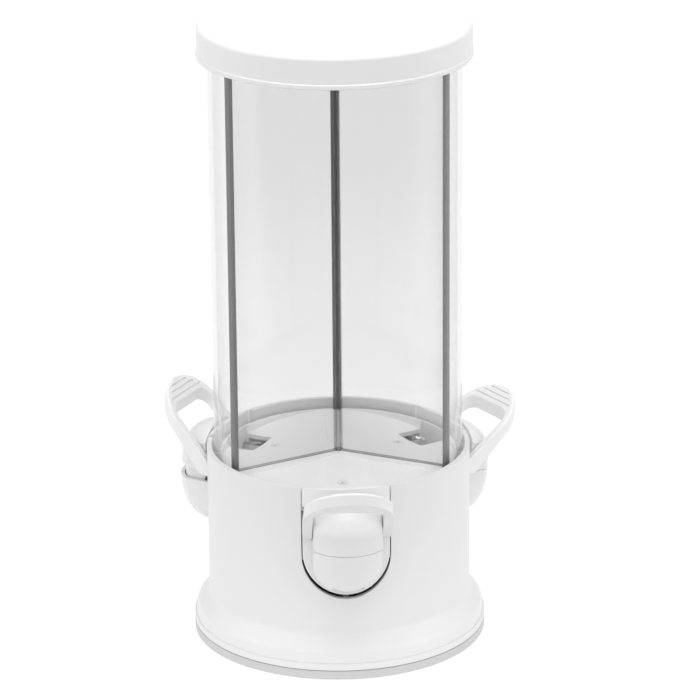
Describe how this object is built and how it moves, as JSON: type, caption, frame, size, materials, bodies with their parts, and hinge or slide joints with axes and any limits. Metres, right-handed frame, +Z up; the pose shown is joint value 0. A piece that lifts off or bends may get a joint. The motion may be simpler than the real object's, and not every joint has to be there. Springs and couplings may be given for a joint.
{
  "type": "candy dispenser",
  "caption": "Round counter-top candy dispenser: clear tube with a three-way divider on a turning base, a lift lever and spout for each compartment, and a lift-off lid.",
  "frame": {"origin": "middle of the round foot, on the plane that its pads rest on", "axes": "+Z up along the axis of the tube; the front spout points along -Y; the other spouts stand 120 degrees to each side"},
  "size_m": [0.1871, 0.1825, 0.332],
  "materials": {
    "white_shell": "moulded ABS, satin gloss",
    "white_lever": "moulded ABS, satin gloss",
    "white_foot": "moulded ABS, satin",
    "white_inner": "moulded ABS, matt inside",
    "clear_tube": "clear extruded acrylic",
    "clear_pane": "clear acrylic sheet",
    "grey_strip": "grey extruded vinyl",
    "soft_seal": "silicone rubber",
    "rubber_pad": "matt rubber",
    "glide": "acetal, natural",
    "steel": "zinc-plated steel"
  },
  "bodies": {
    "foot": {"foot_plate": "white_foot", "foot_pads": "rubber_pad", "glide_ring": "glide", "pivot_bush": "glide"},
    "base": {"base_pan": "white_inner", "base_housing": "white_shell", "pan_screws": "steel", "pivot_screw": "steel", "pivot_washer": "steel", "hopper_deck": "white_shell", "deck_screws": "steel", "canister_tube": "clear_tube", "divider_post": "clear_pane", "divider_pane_right": "clear_pane", "divider_pane_rear": "clear_pane", "divider_pane_left": "clear_pane", "edge_strip_right": "grey_strip", "edge_strip_rear": "grey_strip", "edge_strip_left": "grey_strip", "spout_front": "white_shell", "spout_right": "white_shell", "spout_left": "white_shell"},
    "lid": {"lid": "white_shell", "lid_seal": "soft_seal"},
    "lever_front": {"lever_front": "white_lever", "flap_front": "white_lever", "hinge_pin_front": "steel", "pin_stops_front": "steel"},
    "lever_right": {"lever_right": "white_lever", "flap_right": "white_lever", "hinge_pin_right": "steel", "pin_stops_right": "steel"},
    "lever_left": {"lever_left": "white_lever", "flap_left": "white_lever", "hinge_pin_left": "steel", "pin_stops_left": "steel"}
  },
  "joints": [
    {"name": "base_turn", "type": "hinge", "parent": "foot", "child": "base", "pos_m": [0, 0, 0.0056], "axis": [0, 0, 1], "continuous": true},
    {"name": "lever_front_lift", "type": "hinge", "parent": "base", "child": "lever_front", "pos_m": [0, -0.053, 0.077], "axis": [-1, 0, 0], "range_deg": [0, 15]},
    {"name": "lever_right_lift", "type": "hinge", "parent": "base", "child": "lever_right", "pos_m": [0.0459, 0.0265, 0.077], "axis": [0.5, -0.866, 0], "range_deg": [0, 15]},
    {"name": "lever_left_lift", "type": "hinge", "parent": "base", "child": "lever_left", "pos_m": [-0.0459, 0.0265, 0.077], "axis": [0.5, 0.866, 0], "range_deg": [-13.5, 1.5]},
    {"name": "lid_lift", "type": "slide", "parent": "base", "child": "lid", "axis": [0, 0, 1], "range_m": [0, 0.04]}
  ]
}
